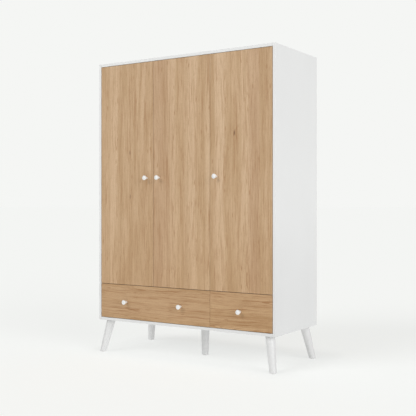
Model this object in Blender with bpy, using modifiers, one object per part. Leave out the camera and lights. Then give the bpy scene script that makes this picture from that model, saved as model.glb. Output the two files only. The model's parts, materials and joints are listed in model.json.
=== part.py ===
# Three-door wardrobe on splayed legs: a white carcass holding a hanging compartment behind two doors,
# a shelved compartment behind the third, and two drawers below. Metres, +Z up, +X to the right when
# facing the doors, +Y to the back. The origin is on the floor, under the middle of the carcass.

import math

import bmesh
import bpy
from mathutils import Matrix, Vector

# Carcass
CARCASS_WIDTH = 1.345
CARCASS_DEPTH = 0.566
CARCASS_HEIGHT = 1.720
SIDE_THICKNESS = 0.018
TOP_THICKNESS = 0.018
BOTTOM_THICKNESS = 0.018
PARTITION_THICKNESS = 0.018
SHELF_THICKNESS = 0.018
BACK_THICKNESS = 0.003
BACK_REBATE_DEPTH = 0.006
BACK_REBATE_LIP = 0.008
BOARD_EDGE_ROUND = 0.0008

# Fronts: doors and drawer fronts sit inside the carcass, flush with its front edges
FRONT_THICKNESS = 0.018
REVEAL = 0.0025
PARTITION_REVEAL = 0.0015
SPLIT_GAP = 0.003
DRAWER_FRONT_HEIGHT = 0.223
DOOR_BACK_CLEARANCE = 0.002

# Shelves and rail
HAT_SPACE_HEIGHT = 0.300
RAIL_DIAMETER = 0.025
RAIL_DROP = 0.065
RAIL_FLANGE_DIAMETER = 0.052
RAIL_FLANGE_THICKNESS = 0.003
RAIL_COLLAR_WALL = 0.003
RAIL_COLLAR_LENGTH = 0.014
LOOSE_SHELF_COUNT = 2
SHELF_SIDE_PLAY = 0.001

# Concealed hinges
HINGE_END_INSET = 0.100
HINGE_MIDDLE_DROP = 0.030
CUP_DIAMETER = 0.035
CUP_DEPTH = 0.0125
CUP_EDGE_DISTANCE = 0.0045
CUP_WALL = 0.0015
CUP_RIM_WIDTH = 0.0015
CUP_RIM_THICKNESS = 0.0015
CUP_EAR_LENGTH = 0.062
CUP_EAR_WIDTH = 0.016
CUP_PLAY = 0.0003
ARM_FRONT_GAP = 0.0035
ARM_LENGTH = 0.068
ARM_WIDTH = 0.016
ARM_HEIGHT = 0.013
ARM_NOSE_LENGTH = 0.014
ARM_NOSE_OVERLAP = 0.006
PLATE_THICKNESS = 0.003
PLATE_SPAN = 0.052
PLATE_LENGTH = 0.018
PLATE_DISTANCE = 0.037

# Knobs
KNOB_HEAD_DIAMETER = 0.030
KNOB_BASE_DIAMETER = 0.013
KNOB_PROJECTION = 0.038
KNOB_DOME_DEPTH = 0.006
KNOB_DOOR_INSET = 0.0475
KNOB_DOOR_HEIGHT = 0.701

# Drawers
DRAWER_SIDE_HEIGHT = 0.150
DRAWER_SIDE_THICKNESS = 0.012
DRAWER_LIFT = 0.020
DRAWER_REAR_CLEARANCE = 0.060
DRAWER_BOTTOM_THICKNESS = 0.003
DRAWER_BOTTOM_LIFT = 0.010
GROOVE_DEPTH = 0.006
GROOVE_PLAY = 0.0004
RUNNER_SPACE = 0.013
RUNNER_DEPTH = 0.0115
RUNNER_HEIGHT = 0.036
RUNNER_SHEET = 0.0015
RUNNER_LIFT = 0.012
RUNNER_END_MARGIN = 0.030

# Legs
LEG_HEIGHT = 0.2165
LEG_TOP_DIAMETER = 0.060
LEG_FOOT_DIAMETER = 0.043
LEG_FOOT_ROUND = 0.003
LEG_INSET_X = 0.063
LEG_INSET_Y = 0.054
LEG_SPLAY = 0.040

# Pieces that rest on or seat in each other keep this distance
CONTACT_GAP = 0.0003

ROUND_STEPS = 24
CUTTER_OVERRUN = 0.010

# Places that follow from the sizes above
HALF_WIDTH = CARCASS_WIDTH / 2
FRONT_Y = -CARCASS_DEPTH / 2
REAR_Y = CARCASS_DEPTH / 2
CARCASS_BOTTOM = LEG_HEIGHT
CARCASS_TOP = LEG_HEIGHT + CARCASS_HEIGHT
INNER_X = HALF_WIDTH - SIDE_THICKNESS
INNER_BOTTOM = CARCASS_BOTTOM + BOTTOM_THICKNESS
INNER_TOP = CARCASS_TOP - TOP_THICKNESS
FRONT_BACK_Y = FRONT_Y + FRONT_THICKNESS
BOARD_FRONT_Y = FRONT_BACK_Y + DOOR_BACK_CLEARANCE
SHEET_FRONT_Y = REAR_Y - BACK_REBATE_DEPTH + CONTACT_GAP
BOARD_BACK_Y = SHEET_FRONT_Y - CONTACT_GAP
SHELF_FRONT_Y = FRONT_BACK_Y + ARM_LENGTH + 2 * DOOR_BACK_CLEARANCE

DOOR_COUNT = 3
DOOR_WIDTH = (2 * INNER_X - DOOR_COUNT * REVEAL - PARTITION_REVEAL) / DOOR_COUNT
DRAWER_FRONT_BOTTOM = INNER_BOTTOM + REVEAL
DRAWER_FRONT_TOP = DRAWER_FRONT_BOTTOM + DRAWER_FRONT_HEIGHT
DOOR_BOTTOM = DRAWER_FRONT_TOP + SPLIT_GAP
DOOR_TOP = INNER_TOP - REVEAL
DECK_TOP = DRAWER_FRONT_TOP + SPLIT_GAP / 2 + SHELF_THICKNESS / 2


def door_left_edge(number):
    """The left edge of a door, counted from 0 at the left. The gap over the partition is finer."""
    gaps_before = (0, REVEAL, REVEAL + PARTITION_REVEAL)
    return -INNER_X + REVEAL + number * DOOR_WIDTH + gaps_before[number]


PARTITION_X = door_left_edge(2) - PARTITION_REVEAL / 2
PARTITION_LEFT = PARTITION_X - PARTITION_THICKNESS / 2
PARTITION_RIGHT = PARTITION_X + PARTITION_THICKNESS / 2
HAT_SHELF_TOP = INNER_TOP - HAT_SPACE_HEIGHT

for leftover in list(bpy.data.objects):
    bpy.data.objects.remove(leftover)

wardrobe = bpy.data.collections.new("wardrobe")
cutters = bpy.data.collections.new("cutters")
bpy.context.scene.collection.children.link(wardrobe)
bpy.context.scene.collection.children.link(cutters)
cutters.hide_render = True


def make_material(name, colour, roughness, metallic=0.0):
    material = bpy.data.materials.new(name)
    material.use_nodes = True
    shader = material.node_tree.nodes["Principled BSDF"]
    shader.inputs["Base Color"].default_value = (*colour, 1.0)
    shader.inputs["Roughness"].default_value = roughness
    shader.inputs["Metallic"].default_value = metallic
    return material


white_board = make_material("white_board", (0.76, 0.77, 0.77), 0.45)
oak_board = make_material("oak_board", (0.50, 0.34, 0.21), 0.50)
white_paint = make_material("white_paint", (0.78, 0.78, 0.77), 0.35)
back_sheet = make_material("back_sheet", (0.70, 0.70, 0.69), 0.60)
drawer_board = make_material("drawer_board", (0.74, 0.74, 0.73), 0.50)
steel = make_material("steel", (0.62, 0.62, 0.63), 0.30, 1.0)
chrome = make_material("chrome", (0.75, 0.75, 0.77), 0.12, 1.0)
runner_enamel = make_material("runner_enamel", (0.72, 0.72, 0.72), 0.35)


def add_object(name, mesh, material=None, parent=None, collection=wardrobe):
    piece = bpy.data.objects.new(name, mesh)
    collection.objects.link(piece)
    if material:
        mesh.materials.append(material)
    if parent:
        piece.parent = parent
    if collection is cutters:
        piece.hide_render = True
        piece.display_type = "WIRE"
    return piece


def pivot(name, place):
    """An empty on a joint's axis, which the moving pieces hang from."""
    axis_point = bpy.data.objects.new(name, None)
    axis_point.location = place
    wardrobe.objects.link(axis_point)
    return axis_point


def place_piece(piece, centre, parent=None):
    piece.location = Vector(centre) - (parent.location if parent else Vector())


def box(name, low, high, material=None, parent=None, collection=wardrobe, rounded=BOARD_EDGE_ROUND):
    """A board between two opposite corners, with its edges eased."""
    low, high = Vector(low), Vector(high)
    shape = bmesh.new()
    bmesh.ops.create_cube(shape, size=1.0)
    bmesh.ops.scale(shape, vec=high - low, verts=shape.verts)
    mesh = bpy.data.meshes.new(name)
    shape.to_mesh(mesh)
    shape.free()
    piece = add_object(name, mesh, material, parent, collection)
    place_piece(piece, (low + high) / 2, parent)
    if rounded and collection is wardrobe:
        easing = piece.modifiers.new("eased_edges", "BEVEL")
        easing.width = rounded
        easing.segments = 1
    return piece


def round_cutter(name, centre, radius, length, axis):
    """A cylinder along a world axis, for bores."""
    shape = bmesh.new()
    bmesh.ops.create_cone(
        shape, cap_ends=True, segments=ROUND_STEPS, radius1=radius, radius2=radius, depth=length
    )
    turn = Vector((0, 0, 1)).rotation_difference(Vector(axis)).to_matrix()
    bmesh.ops.rotate(shape, matrix=turn, verts=shape.verts)
    mesh = bpy.data.meshes.new(name)
    shape.to_mesh(mesh)
    shape.free()
    bar = add_object(name, mesh, collection=cutters)
    bar.location = centre
    return bar


def combine(piece, other, operation):
    step = piece.modifiers.new(other.name, "BOOLEAN")
    step.operation = operation
    step.solver = "EXACT"
    step.object = other


def turned(name, profile, material, steps=ROUND_STEPS):
    """A solid of revolution about local Z. The profile is (radius, height) pairs, top to bottom."""
    mesh = bpy.data.meshes.new(name)
    shape = bmesh.new()
    points = [shape.verts.new((radius, 0, height)) for radius, height in profile]
    for start, end in zip(points, points[1:]):
        shape.edges.new((start, end))
    shape.to_mesh(mesh)
    shape.free()
    piece = add_object(name, mesh, material)
    spin = piece.modifiers.new("spin", "SCREW")
    spin.steps = steps
    spin.render_steps = steps
    spin.use_merge_vertices = True
    spin.merge_threshold = 0.00001
    spin.use_smooth_shade = True
    return piece


def make_carcass():
    sides = []
    for name, outer in (("side_panel_left", -HALF_WIDTH), ("side_panel_right", HALF_WIDTH)):
        inner = math.copysign(INNER_X, outer)
        low = (min(outer, inner), FRONT_Y, CARCASS_BOTTOM)
        high = (max(outer, inner), REAR_Y, CARCASS_TOP)
        sides.append(box(name, low, high, white_board))
    half_span = INNER_X - CONTACT_GAP
    top = box(
        "top_panel", (-half_span, FRONT_Y, INNER_TOP), (half_span, REAR_Y, CARCASS_TOP), white_board
    )
    bottom = box(
        "bottom_panel",
        (-half_span, FRONT_Y, CARCASS_BOTTOM),
        (half_span, REAR_Y, INNER_BOTTOM),
        white_board,
    )
    rebate = box(
        "back_rebate",
        (-INNER_X - BACK_REBATE_LIP, REAR_Y - BACK_REBATE_DEPTH, INNER_BOTTOM - BACK_REBATE_LIP),
        (INNER_X + BACK_REBATE_LIP, REAR_Y + CUTTER_OVERRUN, INNER_TOP + BACK_REBATE_LIP),
        collection=cutters,
    )
    for board in (*sides, top, bottom):
        combine(board, rebate, "DIFFERENCE")


def make_back():
    """Two thin sheets in the carcass rebate, which meet behind the partition."""
    edge = INNER_X + BACK_REBATE_LIP - CONTACT_GAP
    low_z = INNER_BOTTOM - BACK_REBATE_LIP + CONTACT_GAP
    high_z = INNER_TOP + BACK_REBATE_LIP - CONTACT_GAP
    rear = SHEET_FRONT_Y + BACK_THICKNESS
    seam = CONTACT_GAP / 2
    for name, left, right in (
        ("back_sheet_left", -edge, PARTITION_X - seam),
        ("back_sheet_right", PARTITION_X + seam, edge),
    ):
        box(name, (left, SHEET_FRONT_Y, low_z), (right, rear, high_z), back_sheet, rounded=0)


def make_inner_boards():
    left = -INNER_X + CONTACT_GAP
    right = INNER_X - CONTACT_GAP
    box(
        "partition",
        (PARTITION_LEFT, BOARD_FRONT_Y, INNER_BOTTOM + CONTACT_GAP),
        (PARTITION_RIGHT, BOARD_BACK_Y, INNER_TOP - CONTACT_GAP),
        white_board,
    )
    fixed = (
        ("deck_left", left, PARTITION_LEFT - CONTACT_GAP, BOARD_FRONT_Y, DECK_TOP),
        ("deck_right", PARTITION_RIGHT + CONTACT_GAP, right, BOARD_FRONT_Y, DECK_TOP),
        ("hat_shelf", left, PARTITION_LEFT - CONTACT_GAP, SHELF_FRONT_Y, HAT_SHELF_TOP),
        ("fixed_shelf", PARTITION_RIGHT + CONTACT_GAP, right, SHELF_FRONT_Y, HAT_SHELF_TOP),
    )
    for name, low_x, high_x, front, top in fixed:
        box(name, (low_x, front, top - SHELF_THICKNESS), (high_x, BOARD_BACK_Y, top), white_board)
    bay = (HAT_SHELF_TOP - DECK_TOP) / (LOOSE_SHELF_COUNT + 1)
    for number in range(LOOSE_SHELF_COUNT):
        top = DECK_TOP + (number + 1) * bay
        box(
            f"loose_shelf_{number + 1}",
            (PARTITION_RIGHT + SHELF_SIDE_PLAY, SHELF_FRONT_Y, top - SHELF_THICKNESS),
            (INNER_X - SHELF_SIDE_PLAY, BOARD_BACK_Y - SHELF_SIDE_PLAY, top),
            white_board,
        )


def make_rail():
    """A round rail turned in one piece with the wall flanges that carry its ends."""
    length = PARTITION_LEFT + INNER_X - 2 * CONTACT_GAP
    tube = RAIL_DIAMETER / 2
    collar = tube + RAIL_COLLAR_WALL
    flange = RAIL_FLANGE_DIAMETER / 2
    half_profile = (
        (0, length / 2),
        (flange, length / 2),
        (flange, length / 2 - RAIL_FLANGE_THICKNESS),
        (collar, length / 2 - RAIL_FLANGE_THICKNESS),
        (collar, length / 2 - RAIL_COLLAR_LENGTH),
        (tube, length / 2 - RAIL_COLLAR_LENGTH),
    )
    lower = [(radius, -height) for radius, height in reversed(half_profile)]
    rail = turned("hanging_rail", [*half_profile, *lower], chrome)
    rail.rotation_euler = (0, math.radians(90), 0)
    rail.location = (
        (PARTITION_LEFT - INNER_X) / 2,
        (SHELF_FRONT_Y + BOARD_BACK_Y) / 2,
        HAT_SHELF_TOP - SHELF_THICKNESS - RAIL_DROP,
    )


def knob_profile():
    """A domed head on a cone that narrows towards the front it sits on. Height runs out from it."""
    base = KNOB_BASE_DIAMETER / 2
    head = KNOB_HEAD_DIAMETER / 2
    dome_start = KNOB_PROJECTION - KNOB_DOME_DEPTH
    dome_steps = 6
    profile = []
    for step in range(dome_steps + 1):
        turn = math.radians(90) * step / dome_steps
        profile.append((head * math.sin(turn), dome_start + KNOB_DOME_DEPTH * math.cos(turn)))
    return [*profile, (base, 0), (0, 0)]


def make_knob(name, x, z, parent):
    knob = turned(name, knob_profile(), white_paint)
    knob.parent = parent
    knob.rotation_euler = (math.radians(90), 0, 0)
    place_piece(knob, (x, FRONT_Y - CONTACT_GAP, z), parent)


def hinge_heights():
    low = DOOR_BOTTOM + HINGE_END_INSET
    high = DOOR_TOP - HINGE_END_INSET
    return (("lower", low), ("middle", (low + high) / 2 - HINGE_MIDDLE_DROP), ("upper", high))


def make_hinge_cup(name, cup_x, z, parent):
    """A flanged cup let into the back of a door, open towards the cabinet."""
    radius = CUP_DIAMETER / 2 - CUP_PLAY
    rim = CUP_DIAMETER / 2 + CUP_RIM_WIDTH
    bore = radius - CUP_WALL
    profile = (
        (bore, CUP_RIM_THICKNESS),
        (rim, CUP_RIM_THICKNESS),
        (rim, 0),
        (radius, 0),
        (radius, CUP_PLAY - CUP_DEPTH),
        (0, CUP_PLAY - CUP_DEPTH),
    )
    floor = ((0, CUP_PLAY + CUP_WALL - CUP_DEPTH), (bore, CUP_PLAY + CUP_WALL - CUP_DEPTH))
    cup = turned(name, [*floor, *profile], steel)
    cup.parent = parent
    cup.rotation_euler = (math.radians(-90), 0, 0)
    seat = FRONT_BACK_Y + CONTACT_GAP
    place_piece(cup, (cup_x, seat, z), parent)
    ears = box(
        f"{name}_ears",
        (cup_x - CUP_EAR_WIDTH / 2, seat, z - CUP_EAR_LENGTH / 2),
        (cup_x + CUP_EAR_WIDTH / 2, seat + CUP_RIM_THICKNESS, z + CUP_EAR_LENGTH / 2),
        collection=cutters,
    )
    mouth = round_cutter(f"{name}_mouth", (cup_x, seat, z), bore, 2 * CUP_DEPTH, (0, 1, 0))
    combine(ears, mouth, "DIFFERENCE")
    combine(cup, ears, "UNION")


def make_hinge_arm(name, wall_x, inward, cup_x, z):
    """An arm on its wall plate. Its nose reaches across to the cup, just behind the door."""

    def slab(piece_name, reach, depth, half_height, collection=cutters, material=None):
        low_x, high_x = sorted(wall_x + inward * value for value in reach)
        low_y, high_y = (FRONT_BACK_Y + value for value in depth)
        return box(
            piece_name,
            (low_x, low_y, z - half_height),
            (high_x, high_y, z + half_height),
            material,
            collection=collection,
            rounded=0,
        )

    nose_reach = abs(cup_x - wall_x) + ARM_NOSE_OVERLAP
    body_start = ARM_FRONT_GAP + ARM_NOSE_LENGTH / 2
    arm = slab(
        name,
        (CONTACT_GAP + PLATE_THICKNESS / 2, ARM_HEIGHT),
        (body_start, ARM_LENGTH),
        ARM_WIDTH / 2,
        collection=wardrobe,
        material=steel,
    )
    nose = slab(
        f"{name}_nose",
        (CONTACT_GAP + PLATE_THICKNESS, nose_reach),
        (ARM_FRONT_GAP, ARM_FRONT_GAP + ARM_NOSE_LENGTH),
        ARM_WIDTH / 2 - CONTACT_GAP,
    )
    plate = slab(
        f"{name}_plate",
        (CONTACT_GAP, CONTACT_GAP + PLATE_THICKNESS),
        (PLATE_DISTANCE - PLATE_LENGTH / 2, PLATE_DISTANCE + PLATE_LENGTH / 2),
        PLATE_SPAN / 2,
    )
    combine(arm, nose, "UNION")
    combine(arm, plate, "UNION")


def make_door(name, number, hinge_on_left, wall_x, knob_x):
    """A flush door with its knob and hinges. It turns about the front corner of its hinge edge."""
    left = door_left_edge(number)
    right = left + DOOR_WIDTH
    hinge_x, inward = (left, 1) if hinge_on_left else (right, -1)
    axis_point = pivot(f"{name}_pivot", (hinge_x, FRONT_Y, DOOR_BOTTOM))
    door = box(
        name, (left, FRONT_Y, DOOR_BOTTOM), (right, FRONT_BACK_Y, DOOR_TOP), oak_board, axis_point
    )
    cup_x = hinge_x + inward * (CUP_EDGE_DISTANCE + CUP_DIAMETER / 2)
    for place, z in hinge_heights():
        bore = round_cutter(
            f"{name}_bore_{place}",
            (cup_x, FRONT_BACK_Y, z),
            CUP_DIAMETER / 2,
            2 * CUP_DEPTH,
            (0, 1, 0),
        )
        combine(door, bore, "DIFFERENCE")
        make_hinge_cup(f"{name}_cup_{place}", cup_x, z, axis_point)
        make_hinge_arm(f"{name}_hinge_{place}", wall_x, inward, cup_x, z)
    make_knob(f"{name}_knob", knob_x, DOOR_BOTTOM + KNOB_DOOR_HEIGHT, axis_point)


def make_doors():
    make_door(
        "door_left", 0, True, -INNER_X, door_left_edge(0) + DOOR_WIDTH - KNOB_DOOR_INSET
    )
    make_door("door_middle", 1, False, PARTITION_LEFT, door_left_edge(1) + KNOB_DOOR_INSET)
    make_door("door_right", 2, False, INNER_X, door_left_edge(2) + KNOB_DOOR_INSET)


def make_drawer(name, front_left, front_right, bay_left, bay_right, knob_places):
    """A box behind a flush front. Its thin bottom slides in grooves, under the back board."""
    slide_start = pivot(f"{name}_slide", ((front_left + front_right) / 2, FRONT_Y, INNER_BOTTOM))
    low = INNER_BOTTOM + DRAWER_LIFT
    high = low + DRAWER_SIDE_HEIGHT
    back_y = BOARD_BACK_Y - DRAWER_REAR_CLEARANCE
    left = bay_left + RUNNER_SPACE
    right = bay_right - RUNNER_SPACE
    inner_left = left + DRAWER_SIDE_THICKNESS
    inner_right = right - DRAWER_SIDE_THICKNESS
    bottom_low = low + DRAWER_BOTTOM_LIFT
    bottom_high = bottom_low + DRAWER_BOTTOM_THICKNESS
    side_front = FRONT_BACK_Y + CONTACT_GAP
    front = box(
        f"{name}_front",
        (front_left, FRONT_Y, DRAWER_FRONT_BOTTOM),
        (front_right, FRONT_BACK_Y, DRAWER_FRONT_TOP),
        oak_board,
        slide_start,
    )
    side_left = box(
        f"{name}_side_left",
        (left, side_front, low),
        (inner_left, back_y, high),
        drawer_board,
        slide_start,
    )
    side_right = box(
        f"{name}_side_right",
        (inner_right, side_front, low),
        (right, back_y, high),
        drawer_board,
        slide_start,
    )
    box(
        f"{name}_back",
        (inner_left + CONTACT_GAP, back_y - DRAWER_SIDE_THICKNESS, bottom_high + CONTACT_GAP),
        (inner_right - CONTACT_GAP, back_y, high),
        drawer_board,
        slide_start,
    )
    groove = box(
        f"{name}_groove",
        (inner_left - GROOVE_DEPTH, FRONT_BACK_Y - GROOVE_DEPTH, bottom_low - GROOVE_PLAY),
        (inner_right + GROOVE_DEPTH, back_y + CUTTER_OVERRUN, bottom_high + GROOVE_PLAY),
        collection=cutters,
    )
    for board in (front, side_left, side_right):
        combine(board, groove, "DIFFERENCE")
    tongue = GROOVE_DEPTH - GROOVE_PLAY
    box(
        f"{name}_bottom",
        (inner_left - tongue, FRONT_BACK_Y - tongue, bottom_low),
        (inner_right + tongue, back_y, bottom_high),
        drawer_board,
        slide_start,
        rounded=0,
    )
    knob_z = (DRAWER_FRONT_BOTTOM + DRAWER_FRONT_TOP) / 2
    for suffix, x in knob_places:
        make_knob(f"{name}_knob{suffix}", x, knob_z, slide_start)
    for side, wall, inward in (("left", bay_left, 1), ("right", bay_right, -1)):
        make_runner(f"{name}_runner_{side}", wall, inward, back_y)


def make_runner(name, wall, inward, back_y):
    """A fixed steel channel that opens towards the drawer side."""
    near = wall + inward * CONTACT_GAP
    far = wall + inward * RUNNER_DEPTH
    low = INNER_BOTTOM + RUNNER_LIFT
    start_y = FRONT_BACK_Y + DOOR_BACK_CLEARANCE
    end_y = back_y - RUNNER_END_MARGIN
    channel = box(
        name,
        (min(near, far), start_y, low),
        (max(near, far), end_y, low + RUNNER_HEIGHT),
        runner_enamel,
        rounded=0,
    )
    web = near + inward * RUNNER_SHEET
    beyond = far + inward * CUTTER_OVERRUN
    hollow = box(
        f"{name}_hollow",
        (min(web, beyond), start_y - CUTTER_OVERRUN, low + RUNNER_SHEET),
        (max(web, beyond), end_y + CUTTER_OVERRUN, low + RUNNER_HEIGHT - RUNNER_SHEET),
        collection=cutters,
    )
    combine(channel, hollow, "DIFFERENCE")


def make_drawers():
    def door_centre(number):
        return door_left_edge(number) + DOOR_WIDTH / 2

    make_drawer(
        "wide_drawer",
        door_left_edge(0),
        door_left_edge(1) + DOOR_WIDTH,
        -INNER_X,
        PARTITION_LEFT,
        (("_left", door_centre(0)), ("_right", door_centre(1))),
    )
    make_drawer(
        "narrow_drawer",
        door_left_edge(2),
        door_left_edge(2) + DOOR_WIDTH,
        PARTITION_RIGHT,
        INNER_X,
        (("", door_centre(2)),),
    )


def make_leg(name, top_x, top_y, splay_x, splay_y):
    """A tapered round leg, leaning by shear so that both its ends stay level."""
    foot = LEG_FOOT_DIAMETER / 2
    height = LEG_HEIGHT - CONTACT_GAP
    round_steps = 3
    profile = [(0, height), (LEG_TOP_DIAMETER / 2, height)]
    for step in range(round_steps + 1):
        turn = math.radians(90) * step / round_steps
        radius = foot - LEG_FOOT_ROUND * (1 - math.cos(turn))
        profile.append((radius, LEG_FOOT_ROUND * (1 - math.sin(turn))))
    profile.append((0, 0))
    leg = turned(name, profile, white_paint)
    lean = Matrix.Identity(4)
    lean[0][2] = -splay_x / height
    lean[1][2] = -splay_y / height
    foot_place = Matrix.Translation((top_x + splay_x, top_y + splay_y, 0))
    bpy.context.view_layer.update()
    settled = bpy.data.meshes.new_from_object(
        leg.evaluated_get(bpy.context.evaluated_depsgraph_get())
    )
    leg.modifiers.clear()
    settled.name = name
    leg.data = settled
    settled.transform(lean)
    leg.matrix_world = foot_place


def make_legs():
    reach_x = HALF_WIDTH - LEG_INSET_X
    reach_y = REAR_Y - LEG_INSET_Y
    for depth_name, depth_sign in (("front", -1), ("rear", 1)):
        for side_name, side_sign in (("left", -1), ("right", 1)):
            make_leg(
                f"leg_{depth_name}_{side_name}",
                side_sign * reach_x,
                depth_sign * reach_y,
                side_sign * LEG_SPLAY,
                depth_sign * LEG_SPLAY,
            )
    make_leg("leg_centre", 0, 0, 0, 0)


make_carcass()
make_back()
make_inner_boards()
make_rail()
make_doors()
make_drawers()
make_legs()
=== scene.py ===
import json
import math

import bmesh
import bpy
from mathutils import Matrix, Vector

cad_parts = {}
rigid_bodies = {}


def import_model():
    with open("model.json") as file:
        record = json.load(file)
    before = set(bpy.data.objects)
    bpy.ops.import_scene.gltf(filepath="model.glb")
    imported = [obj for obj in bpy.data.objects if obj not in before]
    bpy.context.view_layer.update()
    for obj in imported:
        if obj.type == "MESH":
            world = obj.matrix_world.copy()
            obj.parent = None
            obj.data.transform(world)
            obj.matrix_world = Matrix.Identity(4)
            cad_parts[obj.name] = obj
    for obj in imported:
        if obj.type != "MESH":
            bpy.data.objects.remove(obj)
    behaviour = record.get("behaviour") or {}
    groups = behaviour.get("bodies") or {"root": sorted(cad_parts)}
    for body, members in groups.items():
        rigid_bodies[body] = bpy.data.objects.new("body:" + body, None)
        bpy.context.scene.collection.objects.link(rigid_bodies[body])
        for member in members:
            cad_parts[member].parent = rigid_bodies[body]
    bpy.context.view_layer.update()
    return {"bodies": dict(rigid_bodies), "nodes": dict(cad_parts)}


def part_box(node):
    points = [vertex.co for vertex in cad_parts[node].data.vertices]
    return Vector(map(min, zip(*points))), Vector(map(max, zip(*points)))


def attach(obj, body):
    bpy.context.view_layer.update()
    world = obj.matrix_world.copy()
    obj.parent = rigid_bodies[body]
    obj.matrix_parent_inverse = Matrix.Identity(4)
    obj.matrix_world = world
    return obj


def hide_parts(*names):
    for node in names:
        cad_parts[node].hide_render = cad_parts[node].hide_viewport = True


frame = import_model()


# node trees

class Wire:
    # one output socket that can stand in an ordinary sum
    def __init__(self, owner, socket):
        self.owner = owner
        self.socket = socket

    def out(self, name):
        return Wire(self.owner, self.socket.node.outputs[name])

    def math(self, operation, *values):
        return self.owner.node("ShaderNodeMath", {"operation": operation}, dict(enumerate(values)))

    def __rsub__(self, other):
        return self.math("SUBTRACT", other, self)

    def ramp(self, low, high):
        # eases from 0 at low to 1 at high; low may be the larger of the two
        settings = {"interpolation_type": "SMOOTHSTEP"}
        return self.owner.node("ShaderNodeMapRange", settings, {"Value": self, "From Min": low, "From Max": high})


# sums, and steps that start from the wire
for label, operation in {
        "__add__": "ADD", "__radd__": "ADD", "__sub__": "SUBTRACT", "__mul__": "MULTIPLY", "__rmul__": "MULTIPLY",
        "__truediv__": "DIVIDE", "floor": "FLOOR", "fract": "FRACT", "root": "SQRT", "size": "ABSOLUTE", "sign": "SIGN",
        "sine": "SINE", "least": "MINIMUM", "most": "MAXIMUM", "above": "GREATER_THAN"}.items():
    setattr(Wire, label, lambda self, *others, how=operation: self.math(how, self, *others))


class NodeSet:
    def __init__(self, tree):
        self.tree = tree

    def node(self, kind, settings=None, sockets=None, out=0):
        made = self.tree.nodes.new(kind)
        for label, value in (settings or {}).items():
            setattr(made, label, value)
        for label, value in (sockets or {}).items():
            if isinstance(value, Wire):
                self.tree.links.new(value.socket, made.inputs[label])
            else:
                made.inputs[label].default_value = value
        return Wire(self, made.outputs[out])

    def vector(self, x=0.0, y=0.0, z=0.0):
        return self.node("ShaderNodeCombineXYZ", sockets={0: x, 1: y, 2: z})

    def split(self, vector):
        parts = self.node("ShaderNodeSeparateXYZ", sockets={0: vector})
        return parts.out("X"), parts.out("Y"), parts.out("Z")


class Finish(NodeSet):
    # a material with one Principled shader; what is the same all over goes on the shader's own sockets
    def __init__(self, name, **fixed):
        self.material = bpy.data.materials.new(name)
        self.material.use_nodes = True
        super().__init__(self.material.node_tree)
        self.shader = self.tree.nodes["Principled BSDF"]
        for label, value in fixed.items():
            self.shader.inputs[label.replace("_", " ")].default_value = value

    def place(self):
        self.spot = self.node("ShaderNodeTexCoord", out="Object")
        return self.split(self.spot)

    def noise(self, vector, detail=2.0, roughness=0.5, scale=1.0):
        sockets = {"Vector": vector, "Scale": scale, "Detail": detail, "Roughness": roughness}
        return self.node("ShaderNodeTexNoise", {"noise_dimensions": "3D"}, sockets)

    def cloud(self, scale, detail=2.0, roughness=0.5):
        return self.noise(self.spot, detail, roughness, scale)

    def chance(self, value):
        return self.node("ShaderNodeTexWhiteNoise", {"noise_dimensions": "1D"}, {"W": value})

    def cells(self, vector, low, high):
        # scattered spots, and which of them are chosen
        spots = self.node("ShaderNodeTexVoronoi", {"voronoi_dimensions": "3D"}, {"Vector": vector, "Scale": 1.0})
        return spots, self.node("ShaderNodeSeparateColor", sockets={0: spots.out("Color")}).ramp(low, high)

    def mix(self, factor, first, second, how="MIX"):
        first, second = (ink if isinstance(ink, Wire) else (*ink, 1.0) for ink in (first, second))
        settings = {"data_type": "RGBA", "blend_type": how}
        return self.node("ShaderNodeMix", settings, {0: factor, 6: first, 7: second}, out=2)

    def feed(self, **wires):
        for label, wire in wires.items():
            self.tree.links.new(wire.socket, self.shader.inputs[label.replace("_", " ")])
        return self.material

    def coat(self, tone, rough, height, strength, distance):
        normal = self.node("ShaderNodeBump", sockets={"Height": height, "Strength": strength, "Distance": distance})
        return self.feed(Base_Color=tone, Roughness=rough, Normal=normal)


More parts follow.
